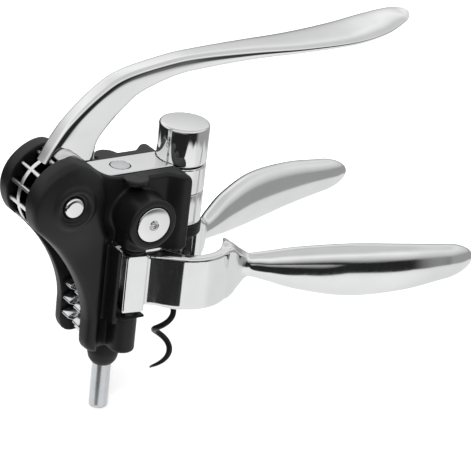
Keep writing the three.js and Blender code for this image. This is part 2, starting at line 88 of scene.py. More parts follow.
# ---- driving dimensions, millimetres --------------------------------------------------------
EAR_R, EAR_LIFT = 17.1, 1.0
SHELL_INNER, SHELL_BASE, SHELL_LEG, SHELL_EAR = 7.8, 9.8, 14.2, 17.0
SHELL_FRONT, SHELL_UNDER, SHELL_TOP = 24.8, -34.7, -0.2
PANEL_BACK, PANEL_FRONT = 13.0, 17.8
LEG_REAR, LEG_FRONT, LEG_BOTTOM = -17.4, -6.2, -77.2
CHEEK_BACK, CHEEK_OUT, CHEEK_LOW, CHEEK_HIGH = -8.4, 18.6, -62, -29.6
LEDGE_X, LEDGE_OUT, LEDGE_R = 0.6, 12.1, 5.3
HINGE_R, HINGE_LOW = 5.6, -29.4
FOOT_OUT, FOOT_R, FOOT_TOP, FOOT_BOTTOM = 14.0, 5.3, -58.4, -77.5
BOSS_R, BOSS_FACE = 10.6, 24.6
LIP_R, RECESS_R = 7.6, 6.0
CAP_R, CAP_SEAT, CAP_FACE = 4.5, 14.6, 17.3
SCREW_R, SCREW_SEAT, SCREW_FACE, SOCKET_R = 7.4, 22.0, 24.9, 1.9
SHANK_R, SHANK_END = 3, 5.4
BARREL_R, BARREL_TOP = 10.5, 15.0
BRIDGE_BACK, BRIDGE_HALF, BRIDGE_BOTTOM, RING_BOTTOM = -12.6, 7.3, -5, -13.5
ROD_R, ROD_BORE_R = 4.0, 4.08
SLEEVE_TOP, SLEEVE_BOTTOM, SLEEVE_BORE_R = -13.8, -27.4, 8.2
MODULE, TEETH_ROUND, GEAR_TEETH = 2.2, 13, 10
PITCH_R = MODULE * TEETH_ROUND / 2
TIP_R = PITCH_R + 0.91 * MODULE
ROOT_R = PITCH_R - 1.18 * MODULE
PRESSURE = math.radians(25)
BACKLASH = 0.35
FIRST_TOOTH = math.radians(107.1)
GEAR_HALF, WEB_HALF = 7.2, 1.1
RACK_BACK, RACK_TOP, RACK_BOTTOM, RACK_HALF, RACK_SLOT = -4.4, -5.3, -73.4, 6.8, 1.7
JAW_INNER, JAW_OUTER, JAW_TOP, BAND_BOTTOM = 16.0, 20.5, -35.3, -58.9
POST_HALF, POST_ROUND = 4.7, 0.9
OPEN_ANGLE = {"right": math.radians(10), "left": math.radians(9)}
SIDES = {"right": -1, "left": 1}
WORM_PITCH, WORM_R, WIRE_R, WORM_TIP, WORM_TOP = 18.5, 3.7, 1.25, -101.0, 7.0
WORM_TIP_ANGLE = math.radians(125)
SHELL_CELL, FOOT_CELL, BRIDGE_CELL, JAW_CELL = 0.55, 0.5, 0.42, 0.62
CREASE = math.radians(38)

# Lever from hub to tip: under edge (x, z), upper edge (x, z), half width, squareness of section.
LEVER_STATIONS = np.array([
    [-14.2, 6, -37, 7, 3.9, 0.28],
    [-13.6, 13, -32.6, 14.6, 3.9, 0.28],
    [-8.9, 19.7, -26, 23.4, 3.9, 0.3],
    [-1.7, 27.2, -14, 34, 4.1, 0.3],
    [5.4, 32.3, -2.5, 40.2, 4.3, 0.34],
    [19.7, 37.2, 18.3, 44.3, 4.7, 0.42],
    [34, 38.9, 33.6, 45.5, 5.3, 0.5],
    [55.5, 40.5, 55.5, 45.9, 7, 0.6],
    [80, 41.4, 80, 45.8, 9.4, 0.68],
    [103.4, 42.9, 102.9, 46.9, 11.4, 0.72],
    [119, 45.8, 118.3, 49.2, 11, 0.74],
    [129.5, 49, 128.6, 51.6, 8.2, 0.78],
    [133.5, 50.8, 132.9, 52.3, 5.6, 0.82],
    [135.6, 51.7, 135.2, 52.8, 2.2, 0.85],
])

# Handle of a closed jaw: x, out, rise, half height, half thickness.
HANDLE_STATIONS = np.array([
    [44, 8.2, 0, 11, 3.6],
    [48, 8.2, 0.1, 9.6, 3.9],
    [51.5, 8.3, 0.2, 7.2, 3.8],
    [55.3, 8.8, 0.4, 5.2, 3.7],
    [62, 11.6, 0.6, 6.5, 4.7],
    [75, 16.6, 0.8, 9.6, 5.8],
    [96, 22.4, 1, 11.8, 6.5],
    [120, 24.8, 1.2, 10.6, 5.9],
    [140, 23.8, 1.3, 8.2, 4.9],
    [150.5, 22.6, 1.3, 7.3, 4.4],
    [155.2, 21.9, 1.3, 7, 4.2],
])
HANDLE_TIP, TIP_LENGTH = 155.6, 14

# Room that the plating mirrors: brightness by level, from straight down (0) to straight up (1).
BAND_STOPS = [
    (0.0, 0.8), (0.3, 0.86), (0.345, 0.8), (0.36, 0.02), (0.57, 0.015),
    (0.61, 0.25), (0.66, 0.5), (0.73, 0.7), (0.82, 0.92), (0.93, 0.6),
]
BAND_DIP, BAND_SWAY = 0.24, 0.16
DARK_SIDE = (-0.805, -0.593, 0)

# Camera, in metres and degrees.
CAMERA_TARGET, CAMERA_AWAY, CAMERA_LENS = (0.0322, 0, 0.00327), 0.88414, 158.8
CAMERA_AZIMUTH, CAMERA_ELEVATION, CAMERA_ROLL = map(math.radians, (-36.108, 25.375, 6.948))


# ---- curves and grids -----------------------------------------------------------------------
def smooth_rows(rows, count):
    """Catmull-Rom: each span is a cubic whose end slopes are half the step between the rows on either side."""
    padded = np.vstack([2 * rows[0] - rows[1], rows, 2 * rows[-1] - rows[-2]])
    along = np.linspace(0, len(rows) - 1, count)
    span = np.minimum(along.astype(int), len(rows) - 2)
    t = (along - span)[:, None]
    a, b, c, d = (padded[span + k] for k in range(4))
    return b + 0.5 * t * (c - a + t * (2 * a - 5 * b + 4 * c - d + t * (3 * (b - c) + d - a)))


def bezier(*controls, steps=10):
    """De Casteljau: neighbouring points are averaged by t until one is left. The first point is left out."""
    t = np.linspace(0, 1, steps + 1)[1:, None]
    points = [np.array(c, float)[None, :] for c in controls]
    while len(points) > 1:
        points = [(1 - t) * p + t * q for p, q in zip(points, points[1:])]
    return points[0]


def arc(centre, radius, start, end, steps):
    angle = np.linspace(start, end, steps + 1)
    return np.stack([centre[0] + radius * np.cos(angle), centre[1] + radius * np.sin(angle)], 1)


def round_corners(profile, radius, steps=5):
    """Inner corners of an open profile become quadratic curves that start and end `radius` away from them."""
    profile = np.array(profile, float)
    rows = [profile[:1]]
    for before, corner, after in zip(profile, profile[1:], profile[2:]):
        back, ahead = before - corner, after - corner
        reach = min(radius, 0.45 * np.linalg.norm(back), 0.45 * np.linalg.norm(ahead))
        start = corner + back / np.linalg.norm(back) * reach
        end = corner + ahead / np.linalg.norm(ahead) * reach
        rows += [start[None, :], bezier(start, corner, end, steps=steps)]
    return np.vstack([*rows, profile[-1:]])


def grid_faces(rows, columns, loop_rows=False):
    """Quads between neighbours of a grid whose columns run round; loop_rows joins the last row to the first."""
    r = np.arange(rows if loop_rows else rows - 1)[:, None]
    c = np.arange(columns)[None, :]
    following = (r + 1) % rows
    beside = (c + 1) % columns
    here, ahead = r * columns, following * columns
    quads = np.stack([here + c, here + beside, ahead + beside, ahead + c], -1)
    return quads.reshape(-1, 4).tolist()


def tube(grid, loop_rows=False):
    """Surface through a (rows, columns, 3) grid, each end closed by one flat face unless the rows loop."""
    rows, columns = grid.shape[:2]
    faces = grid_faces(rows, columns, loop_rows)
    if not loop_rows:
        faces.append(list(range(columns))[::-1])
        faces.append([(rows - 1) * columns + k for k in range(columns)])
    return grid.reshape(-1, 3), faces


def turned(profile, centre, axis="z", sides=96, radius=0.5, closed=False):
    """A (radius, height) profile turned about an axis through centre. A profile that ends on the axis closes
    there; a closed one has its last point joined to its first."""
    profile = np.array(profile, float)
    if closed:
        profile = np.vstack([(profile[0] + profile[-1]) / 2, profile, (profile[0] + profile[-1]) / 2])
    profile = round_corners(profile, radius)
    if closed:
        profile = profile[:-1]
    angle = np.linspace(0, 2 * math.pi, sides, endpoint=False)
    r, height = profile[:, :1], profile[:, 1:] + 0 * angle
    spread = [r * np.cos(angle), r * np.sin(angle)]
    order = [spread[0], spread[1], height] if axis == "z" else [spread[0], height, spread[1]]
    points = np.stack(order, -1).reshape(-1, 3) + np.array(centre)
    return points, grid_faces(len(profile), sides, loop_rows=closed)


def inset_outline(outline, amount):
    """Each point moves inwards along the mean of its two edges' normals; the outline runs anticlockwise."""
    ahead = np.roll(outline, -1, 0) - outline
    normal = np.stack([-ahead[:, 1], ahead[:, 0]], 1)
    normal /= np.linalg.norm(normal, axis=1, keepdims=True)
    mean = normal + np.roll(normal, 1, 0)
    mean /= np.maximum(np.linalg.norm(mean, axis=1, keepdims=True), 0.3)
    return outline + mean * amount


def prism(outline, low, high, edge=0.35):
    """An X-Z outline carried along Y; both rims are drawn in along a quarter circle of radius `edge`."""
    quarter = np.linspace(0, math.pi / 2, 4)
    insets = edge * (1 - np.sin(quarter))
    depths = edge * (1 - np.cos(quarter))
    levels = [(low + d, i) for d, i in zip(depths, insets)]
    levels += [(high - d, i) for d, i in zip(depths[::-1], insets[::-1])]
    rings = []
    for y, inset in levels:
        x, z = inset_outline(outline, inset).T
        rings.append(np.stack([x, np.full_like(x, y), z], 1))
    return tube(np.array(rings))


# ---- cast and moulded forms: a distance field turned into a surface -------------------------
def outline_distance(x, z, outline):
    """The least distance to an edge, negative inside, which is where a line outwards crosses an odd number
    of edges."""
    nearest = np.full(np.broadcast(x, z).shape, 1e9)
    inside = np.zeros(nearest.shape, bool)
    for (ax, az), (bx, bz) in zip(outline, np.roll(outline, -1, 0)):
        ex, ez = bx - ax, bz - az
        t = np.clip(((x - ax) * ex + (z - az) * ez) / (ex * ex + ez * ez), 0, 1)
        nearest = np.minimum(nearest, (x - ax - t * ex) ** 2 + (z - az - t * ez) ** 2)
        if az != bz:
            crosses = ((az > z) != (bz > z)) & (x < ex * (z - az) / ez + ax)
            inside = inside ^ crosses
    return np.where(inside, -1, 1) * np.sqrt(nearest)


def thicken(flat, height, low, high, edge):
    """A flat shape's distance given thickness between two heights, all its rims rounded to radius `edge`."""
    tall = np.abs(height - (low + high) / 2) - (high - low) / 2 + edge
    flat = flat + edge
    return np.minimum(np.maximum(flat, tall), 0) + np.hypot(np.maximum(flat, 0), np.maximum(tall, 0)) - edge


def melt(first, second, fillet):
    """Union with its meeting line filled: where the distances differ by less than `fillet`, the lower drops."""
    closeness = np.maximum(fillet - np.abs(first - second), 0)
    return np.minimum(first, second) - closeness ** 2 / (4 * fillet)


def meet(first, second, edge):
    """What lies in both, its edge eased."""
    return -melt(-first, -second, edge)


def carve(body, tool, edge):
    return -melt(-body, tool, edge)


def cast(field, low, high, cell):
    """The surface where field is zero. Every cell of a cubic grid that it passes through gets one point;
    four cells round a crossed grid edge make one quad; the points are evened out and then moved onto
    the surface along the field's slope.
    """
    axes = [np.arange(a - cell, b + 2 * cell, cell) for a, b in zip(low, high)]
    inside = field(*np.meshgrid(*axes, indexing="ij", sparse=True)) < 0
    nx, ny, nz = (count - 1 for count in inside.shape)
    corners = sum(
        inside[i:nx + i, j:ny + j, k:nz + k].astype(int)
        for i in (0, 1) for j in (0, 1) for k in (0, 1)
    )
    crossed = (corners > 0) & (corners < 8)
    number = np.full(crossed.shape, -1)
    number[crossed] = np.arange(crossed.sum())
    cells = np.argwhere(crossed)
    points = np.stack([axes[k][cells[:, k]] + cell / 2 for k in range(3)], 1)

    quads = []
    for order in ((0, 1, 2), (1, 2, 0), (2, 0, 1)):
        state = np.transpose(inside, order).astype(int)
        number_here = np.transpose(number, order)
        change = state[1:] - state[:-1]
        i, j, k = np.nonzero(change[:, 1:-1, 1:-1])
        j, k = j + 1, k + 1
        quad = np.stack([
            number_here[i, j - 1, k - 1], number_here[i, j, k - 1],
            number_here[i, j, k], number_here[i, j - 1, k],
        ], 1)
        entering = change[i, j, k] > 0
        quad[entering] = quad[entering][:, ::-1]
        quads.append(quad)
    quads = np.vstack(quads)

    def settle(points, rounds):
        for _ in range(rounds):
            value = field(*points.T)
            probe = 0.05 * cell
            slope = np.stack([
                (field(*(points + probe * axis).T) - field(*(points - probe * axis).T)) / (2 * probe)
                for axis in np.eye(3)
            ], 1)
            step = slope * (value / np.maximum((slope ** 2).sum(1), 0.05))[:, None]
            length = np.linalg.norm(step, axis=1, keepdims=True)
            points = points - step * np.minimum(1, 0.7 * cell / np.maximum(length, 1e-9))
        return points

    for _ in range(2):
        points = settle(points, 2)
        total, count = np.zeros_like(points), np.zeros(len(points))
        for a, b in ((0, 1), (1, 2), (2, 3), (3, 0)):
            np.add.at(total, quads[:, a], points[quads[:, b]])
            np.add.at(count, quads[:, a], 1)
        points = 0.5 * points + 0.5 * total / count[:, None]
    return settle(points, 3), quads.tolist()


def on_side(shape, side):
    """(x, out, z) becomes (x, y, z) on one side; the right side is a mirror image, so its faces turn."""
    points, faces = shape
    points = points * np.array([1, side, 1])
    return points, [face[::-1] for face in faces] if side < 0 else faces


# ---- pieces ---------------------------------------------------------------------------------
def new_piece(name, shapes, body, slot, replaced, finish=None):
    """Joins closed shapes into one mesh in metres, merges doubled points, and turns faces outwards."""
    points, faces, start = [], [], 0
    for shape_points, shape_faces in shapes:
        points.append(np.asarray(shape_points) * 0.001 + BENCH)
        faces += [[start + k for k in face] for face in shape_faces]
        start += len(shape_points)
    mesh = bpy.data.meshes.new(name)
    mesh.from_pydata(np.vstack(points), [], faces)
    tidy = bmesh.new()
    tidy.from_mesh(mesh)
    bmesh.ops.remove_doubles(tidy, verts=tidy.verts, dist=2e-6)
    bmesh.ops.recalc_face_normals(tidy, faces=tidy.faces)
    tidy.to_mesh(mesh)
    tidy.free()
    mesh.shade_smooth()
    mesh.set_sharp_from_angle(angle=CREASE)
    mesh.materials.append(MATERIALS[finish or slot])
    piece = bpy.data.objects.new(name, mesh)
    bpy.context.collection.objects.link(piece)
    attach(piece, body)
    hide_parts(*replaced)


# ---- finishes -------------------------------------------------------------------------------
def linear(hex_colour):
    """sRGB hex to linear light, with full opacity."""
    parts = [int(hex_colour[k:k + 2], 16) / 255 for k in (0, 2, 4)]
    return [p / 12.92 if p <= 0.04045 else ((p + 0.055) / 1.055) ** 2.4 for p in parts] + [1]


def grey(level):
    return level, level, level, 1


def put(tree, kind, sockets=None, **settings):
    """Adds a node: settings are its own; each socket gets a number or a link from another node."""
    made = tree.nodes.new(kind)
    for key, value in settings.items():
        setattr(made, key, value)
    for key, value in (sockets or {}).items():
        if isinstance(value, bpy.types.NodeSocket):
            tree.links.new(value, made.inputs[key])
        else:
            made.inputs[key].default_value = value
    return made


def noise(tree, where, scale, detail):
    sockets = {"Vector": where, "Scale": scale, "Detail": detail}
    return put(tree, "ShaderNodeTexNoise", sockets).outputs["Fac"]


def finish_of(name, light, dark, metallic, roughness, grain, depth, stretch=(1, 1, 1), patch=9.0, **fixed):
    """A surface whose colour drifts over patches `patch` mm wide, and whose gloss and relief have a grain of
    `grain` mm; the relief is `depth` mm high."""
    material = bpy.data.materials.new(name)
    material.use_nodes = True
    tree = material.node_tree
    shader = tree.nodes["Principled BSDF"]
    shader.inputs["Metallic"].default_value = metallic
    for socket, value in fixed.items():
        shader.inputs[socket.replace("_", " ")].default_value = value
    where = put(tree, "ShaderNodeTexCoord").outputs["Object"]
    stretched = put(tree, "ShaderNodeMapping", {"Vector": where, "Scale": stretch}).outputs["Vector"]
    drift = noise(tree, where, 1000 / patch, 3.0)
    fine = noise(tree, stretched, 1000 / grain, 2.0)
    mixed = put(tree, "ShaderNodeMix", {0: drift, 6: linear(dark), 7: linear(light)}, data_type="RGBA")
    gloss = put(tree, "ShaderNodeMapRange", {"Value": fine, "To Min": roughness[0], "To Max": roughness[1]})
    relief = put(tree, "ShaderNodeBump", {"Height": fine, "Strength": 1.0, "Distance": depth * 0.001})
    tree.links.new(mixed.outputs[2], shader.inputs["Base Color"])
    tree.links.new(gloss.outputs["Result"], shader.inputs["Roughness"])
    tree.links.new(relief.outputs["Normal"], shader.inputs["Normal"])
    return material


MOULDED = {"IOR": 1.5, "Specular_IOR_Level": 0.35}
MATERIALS = {
    # Zinc casting, buffed and chrome plated: mirror bright, with the faint waviness that buffing leaves.
    "polished_chrome": finish_of("polished_chrome_plate", "f2f2f2", "e4e5e5", 1, (0.03, 0.07), 7, 0.003,
                                 patch=14),
    # The same plate left dull round the teeth, where the buff does not reach; nearer the axle than the teeth's tips
    # its colour is painted dark, as painted shade between the teeth.
    "frosted_gear_painted_shade": finish_of("dull_chrome_plate_painted_shade", "fafafa", "ececec", 1, (0.25, 0.4), 0.6, 0.004),
    # The jaws' castings, linished up and down before plating: bright with a soft, streaky sheen.
    "linished_chrome": finish_of("linished_chrome_plate", "f0f0f0", "e2e3e4", 1, (0.06, 0.15), 1.2, 0.006,
                                 stretch=(1, 1, 0.12), patch=14),
    # Cut teeth, plated without buffing: bright, with a slightly frosted grain.
    "rack_chrome": finish_of("frosted_chrome_plate", "eceded", "d6d8da", 1, (0.1, 0.22), 0.5, 0.004),
    # Ground bar, its grinding rings running round it.
    "bright_steel": finish_of("ground_bright_steel", "dcdee0", "c4c7ca", 1, (0.14, 0.26), 2, 0.002,
                              stretch=(0.15, 0.15, 4)),
    # ABS from a lightly textured mould: satin charcoal.
    "black_shell": finish_of("moulded_black_abs", "121213", "0c0c0d", 0, (0.36, 0.46), 0.35, 0.006, **MOULDED),
    # Glass-filled nylon, moulded: a little darker and duller.
    "black_nylon": finish_of("moulded_black_nylon", "0f0f10", "0a0a0b", 0, (0.42, 0.55), 0.4, 0.006, **MOULDED),
    # Non-stick fluoropolymer over hardened wire.
    "nonstick_worm": finish_of("nonstick_coated_wire", "0c0c0d", "080809", 0, (0.3, 0.4), 0.6, 0.004, IOR=1.38),
    # Sintered bearing bronze with open pores.
    "bronze": finish_of("sintered_bronze", "b98f4f", "8d6834", 1, (0.3, 0.45), 0.3, 0.01),
}


def paint_shade_below(material, radius):
    """Paints shade into a finish nearer to the lever's axle than `radius` mm: the roots between the teeth are painted
    dark, so that only the teeth's tips and the rim of the web stay bright."""
    tree = material.node_tree
    base = tree.nodes["Principled BSDF"].inputs["Base Color"]
    where = put(tree, "ShaderNodeTexCoord").outputs["Object"]
    pivot = tuple(np.array([PIVOT_X, 0, PIVOT_Z]) * 0.001 + BENCH)
    offset = put(tree, "ShaderNodeVectorMath", {0: where, 1: pivot}, operation="SUBTRACT").outputs["Vector"]
    flat = put(tree, "ShaderNodeVectorMath", {0: offset, 1: (1, 0, 1)}, operation="MULTIPLY").outputs["Vector"]
    away = put(tree, "ShaderNodeVectorMath", {0: flat}, operation="LENGTH").outputs["Value"]
    limits = {"From Min": (radius - 0.5) * 0.001, "From Max": radius * 0.001}
    bright = put(tree, "ShaderNodeMapRange", {"Value": away, **limits}).outputs["Result"]
    # 1c1c1d is the painted shade between the teeth, below their tips.
    colours = {6: linear("1c1c1d"), 7: base.links[0].from_socket}
    tree.links.new(put(tree, "ShaderNodeMix", {0: bright, **colours}, data_type="RGBA").outputs[2], base)


# Painted shade between the gear's teeth.
paint_shade_below(MATERIALS["frosted_gear_painted_shade"], TIP_R - 0.25)


# ---- lever with its gear --------------------------------------------------------------------
def lever_arm():
    """Rings of a superellipse between under and upper edge: cosine and sine raised to the squareness."""
    rows = smooth_rows(LEVER_STATIONS, 150)
    angle = np.linspace(0, 2 * math.pi, 72, endpoint=False) + 0.02
    power = rows[:, 5:6]
    u = np.sign(np.cos(angle)) * np.abs(np.cos(angle)) ** power
    v = np.sign(np.sin(angle)) * np.abs(np.sin(angle)) ** power
    centre = (rows[:, 0:2] + rows[:, 2:4]) / 2
    half = (rows[:, 2:4] - rows[:, 0:2]) / 2
    x = centre[:, :1] + half[:, :1] * u
    z = centre[:, 1:] + half[:, 1:] * u
    return tube(np.stack([x, rows[:, 4:5] * v, z], -1))


def gear_outline():
    """Involute flanks on every tooth, arcs at the root circle between them, and a plain shoulder at the tip
    circle that swells by a bell curve under the arm."""
    step = 2 * math.pi / TEETH_ROUND
    base = PITCH_R * math.cos(PRESSURE)
    half_at_pitch = (math.pi * MODULE / 2 - BACKLASH) / (2 * PITCH_R)
    radii = np.array([ROOT_R, base, *np.linspace(base, TIP_R, 7)[1:]])
    lean = np.arccos(base / np.maximum(radii, base))
    half = half_at_pitch + math.tan(PRESSURE) - PRESSURE - (np.tan(lean) - lean)
    shoulder = np.radians(np.linspace(14, 100, 30))
    angles, reach = [shoulder], [TIP_R + 2.4 * np.exp(-((shoulder - 1.4) / 0.3) ** 2)]
    for k in range(GEAR_TEETH):
        middle_angle = FIRST_TOOTH + k * step
        land = np.linspace(-0.5, 0.5, 4) * half[-1]
        angles += [middle_angle - half, middle_angle + land, middle_angle + half[::-1]]
        reach += [radii, np.full(4, TIP_R), radii[::-1]]
    angles, reach = np.concatenate(angles), np.concatenate(reach)
    return np.stack([PIVOT_X + reach * np.cos(angles), PIVOT_Z + reach * np.sin(angles)], 1)


def web_outline():
    last = FIRST_TOOTH + (GEAR_TEETH - 1) * 2 * math.pi / TEETH_ROUND
    rim = arc((PIVOT_X, PIVOT_Z), TIP_R - 0.2, FIRST_TOOTH, last, 60)
    return np.vstack([rim, [[PIVOT_X, PIVOT_Z]]])


new_piece("lever_arm", [lever_arm()], "lever", "polished_chrome", ["lever"])
new_piece("toothed_sector", [
    prism(gear_outline(), -GEAR_HALF, GEAR_HALF, 0.3),
    prism(web_outline(), -WEB_HALF, WEB_HALF, 0.2),
], "lever", "polished_chrome", ["lever"], finish="frosted_gear_painted_shade")


# ---- side shells ----------------------------------------------------------------------------
def shell_outline():
    """The side view: ear, back curve, leg, foot, hinge recess, front panel, and the saddle up to the ear.
    The ear is a circle that swells by a bell curve over the lever's hub."""
    angle = np.radians(np.linspace(48, 213, 48))
    radius = EAR_R + EAR_LIFT * np.exp(-((angle - math.radians(88)) / math.radians(26)) ** 2)
    ear = np.stack([PIVOT_X + radius * np.cos(angle), PIVOT_Z + radius * np.sin(angle)], 1)
    rear, front, top = LEG_REAR, SHELL_FRONT, SHELL_TOP
    return np.vstack([
        ear,
        bezier(ear[-1], (-28, -30), (rear - 1, -47), (rear, LEG_BOTTOM + 16), steps=16),
        [[rear, LEG_BOTTOM + 7]],
        bezier((rear, LEG_BOTTOM + 7), (rear, LEG_BOTTOM), (rear + 7, LEG_BOTTOM), steps=8),
        [[HINGE_R, LEG_BOTTOM], [HINGE_R, FOOT_TOP], [LEG_FRONT, FOOT_TOP], [LEG_FRONT, HINGE_LOW]],
        [[8, HINGE_LOW], [8, SHELL_UNDER], [front - 2, SHELL_UNDER]],
        [[front, SHELL_UNDER + 2], [front, top - 5]],
        bezier((front, top - 5), (front, top), (front - 4.6, top), steps=8),
        [[-4, top]],
        bezier((-4, top), (-11, top), ear[0], steps=10)[:-1],
    ])


SHELL_OUTLINE = shell_outline()


def upright(x, out, middle_out, radius):
    """Plan distance of an upright post that reaches back to the shell's plate."""
    round_part = np.hypot(x, out - middle_out) - radius
    return np.where(out > middle_out, round_part, np.maximum(np.abs(x) - radius, SHELL_INNER - out))


def shell_field(x, out, z):
    """A thin plate with these melted onto it: the domed ear, the leg's ridge, the front panel that swells
    beside the barrel, the ledge, the blocks above and below the jaw's post, the cheek behind it and the
    screw's boss. It is trimmed to its outline, and then the recesses are cut."""
    flat = outline_distance(x, z, SHELL_OUTLINE)
    body = thicken(flat, out, SHELL_INNER - 8, SHELL_BASE, 1.2)

    from_pivot = np.hypot(x - PIVOT_X, z - PIVOT_Z)
    angle = np.arctan2(z - PIVOT_Z, x - PIVOT_X)
    ear_radius = EAR_R + EAR_LIFT * np.exp(-((angle - math.radians(88)) / math.radians(26)) ** 2)
    height = SHELL_EAR - SHELL_INNER
    lift = np.maximum(out - SHELL_INNER, 0) / height
    dome = (((from_pivot / ear_radius) ** 2.9 + lift ** 2.9) ** (1 / 2.9) - 1) * height * 0.8
    body = melt(body, dome, 2.5)

    leg = np.maximum(flat, x + 11.2 + 0.5 * np.maximum(z + 24, 0))
    body = melt(body, thicken(leg, out, SHELL_INNER - 8, SHELL_LEG, 3.0), 5.0)

    swell = np.clip((x - 14) / 7, 0, 1)
    panel_out = PANEL_BACK + (PANEL_FRONT - PANEL_BACK) * swell * swell * (3 - 2 * swell)
    panel = np.maximum(flat, 2 - x)
    body = melt(body, thicken(panel, out - panel_out, -20, 0, 1.8), 1.5)

    ledge = np.hypot(x - LEDGE_X, out - LEDGE_OUT) - LEDGE_R
    body = melt(body, thicken(ledge, z, -2.8, SHELL_TOP, 0.6), 0.8)
    body = melt(body, thicken(upright(x, out, HINGE_OUT, HINGE_R), z, HINGE_LOW, BOSS_Z - 4, 0.5), 0.8)
    body = melt(body, thicken(upright(x + 0.2, out, FOOT_OUT, FOOT_R), z, FOOT_BOTTOM, FOOT_TOP, 1.8), 0.6)
    flange = np.maximum(np.abs(x) - 5.3, np.maximum(out - 21.2, SHELL_INNER - out))
    body = melt(body, thicken(flange, z, FOOT_TOP - 1.2, FOOT_TOP, 0.3), 0.6)
    cheek = np.maximum(np.maximum(x - LEG_FRONT, CHEEK_BACK - x), SHELL_INNER - out)
    cheek = np.maximum(thicken(cheek, out, 0, CHEEK_OUT, 0.5), np.maximum(CHEEK_LOW - z, z - CHEEK_HIGH))
    body = melt(body, cheek, 2.2)

    from_boss = np.hypot(x - BOSS_X, z - BOSS_Z)
    body = melt(body, thicken(from_boss - BOSS_R, out, SHELL_INNER, BOSS_FACE, 0.9), 1.4)

    body = meet(body, flat, 1.6)
    lip = np.hypot(from_pivot - LIP_R, out - SHELL_EAR + 0.6) - 1.0
    body = melt(body, lip, 2.0)
    body = carve(body, thicken(from_pivot - RECESS_R, out, SHELL_EAR - 0.9, 40, 0.6), 1.0)
    body = carve(body, thicken(from_pivot - CAP_R - 0.25, out, CAP_SEAT - 0.3, 40, 0.2), 0.4)
    body = carve(body, thicken(from_boss - SCREW_R - 0.35, out, SCREW_SEAT - 0.3, 40, 0.3), 0.5)
    body = carve(body, np.hypot(x - BARREL_X, out) - BARREL_R - 0.4, 0.6)
    return carve(body, out - SHELL_INNER, 0.4)


def foot_field(x, out, z):
    """The foot that closes the two legs under the rack, round the guide collar's neck."""
    inner = thicken(np.maximum(np.abs(x + 0.7) - 6.3, 0.15 - out), z, LEG_BOTTOM, RACK_BOTTOM - 0.6, 0.4)
    slab = np.maximum(inner, out - SHELL_INNER - 1)
    return carve(slab, np.hypot(x, out) - 5.5, 0.3)


SHELL_LOW = (PIVOT_X - EAR_R - 1, 0, FOOT_BOTTOM)
SHELL_HIGH = (SHELL_FRONT, BOSS_FACE, PIVOT_Z + EAR_R + EAR_LIFT)
shell = cast(shell_field, SHELL_LOW, SHELL_HIGH, SHELL_CELL)
foot = cast(foot_field, (-8, 0, LEG_BOTTOM), (6, SHELL_INNER + 1, RACK_BOTTOM), FOOT_CELL)


def screw_head(side):
    """A turned head with a rounded rim, and a small socket in its middle round a pin."""
    face, floor = SCREW_FACE, SCREW_FACE - 2.6
    profile = [(0, face - 0.5), (0.7, face - 0.6), (0.8, floor), (SOCKET_R - 0.1, floor), (SOCKET_R, face - 0.2)]
    profile += [(SOCKET_R + 0.3, face), (SCREW_R, face - 0.05), (SCREW_R, SCREW_SEAT)]
    profile += [(SHANK_R, SCREW_SEAT), (SHANK_R, SHANK_END), (0, SHANK_END)]
    return turned([(r, side * out) for r, out in profile], (BOSS_X, 0, BOSS_Z), "y", radius=0.45)


def axle_cap(side):
    """A flat button with a soft rim, pressed over the end of the lever's axle."""
    profile = [(0, CAP_SEAT), (CAP_R, CAP_SEAT), (CAP_R, CAP_FACE - 0.9), (CAP_R - 0.7, CAP_FACE - 0.15)]
    profile += [(CAP_R - 1.6, CAP_FACE), (0, CAP_FACE)]
    return turned([(r, side * out) for r, out in profile], (PIVOT_X, 0, PIVOT_Z), "y", radius=0.6)


for word, side in SIDES.items():
    halves = [on_side(shell, side), on_side(foot, side)]
    new_piece(f"{word}_shell_moulding", halves, "body", "black_shell", [f"{word}_side_shell"])
    new_piece(f"{word}_axle_dome", [axle_cap(side)], "body", "polished_chrome", [f"{word}_axle_cap"])
    new_piece(f"{word}_screw_head", [screw_head(side)], "body", "polished_chrome", [f"{word}_frame_screw"])


# ---- rack, rod, bridge and barrel -----------------------------------------------------------
def rack_outline():
    """Straight flanks at the pressure angle, spaced by pi times the module, on the rear of a flat bar."""
    step = math.pi * MODULE
    pitch_x = PIVOT_X + PITCH_R
    root_x = pitch_x + 1.25 * MODULE
    tip_x = pitch_x - 0.96 * MODULE
    half = (step / 2 - BACKLASH) / 2
    meshed = FIRST_TOOTH + (GEAR_TEETH - 1) * 2 * math.pi / TEETH_ROUND - 2 * math.pi
    first = PIVOT_Z + PITCH_R * meshed - step / 2
    rows = [[RACK_BACK, RACK_TOP], [root_x, RACK_TOP]]
    for k in range(int((first - RACK_BOTTOM - 1) / step) + 1):
        z = first - k * step
        wide = half + (root_x - pitch_x) * math.tan(PRESSURE)
        narrow = half + (tip_x - pitch_x) * math.tan(PRESSURE)
        rows += [[root_x, z + wide], [tip_x + 0.3, z + narrow + 0.1], [tip_x, z + narrow - 0.3]]
        rows += [[tip_x, z - narrow + 0.3], [tip_x + 0.3, z - narrow - 0.1], [root_x, z - wide]]
    rows += [[root_x, RACK_BOTTOM], [RACK_BACK, RACK_BOTTOM]]
    return np.array(rows)


def plain_bar(x0, x1, z0, z1):
    return np.array([[x0, z0], [x1, z0], [x1, z1], [x0, z1]], float)


root_line = PIVOT_X + PITCH_R + 1.25 * MODULE
spine = plain_bar(root_line - 0.2, RACK_BACK - 0.05, RACK_BOTTOM + 0.05, RACK_TOP - 0.05)
new_piece("cut_rack", [
    prism(rack_outline(), -RACK_HALF, -RACK_SLOT, 0.25),
    prism(rack_outline(), RACK_SLOT, RACK_HALF, 0.25),
    prism(spine, -RACK_SLOT - 0.2, RACK_SLOT + 0.2, 0.1),
], "carriage", "rack_chrome", ["rack"])

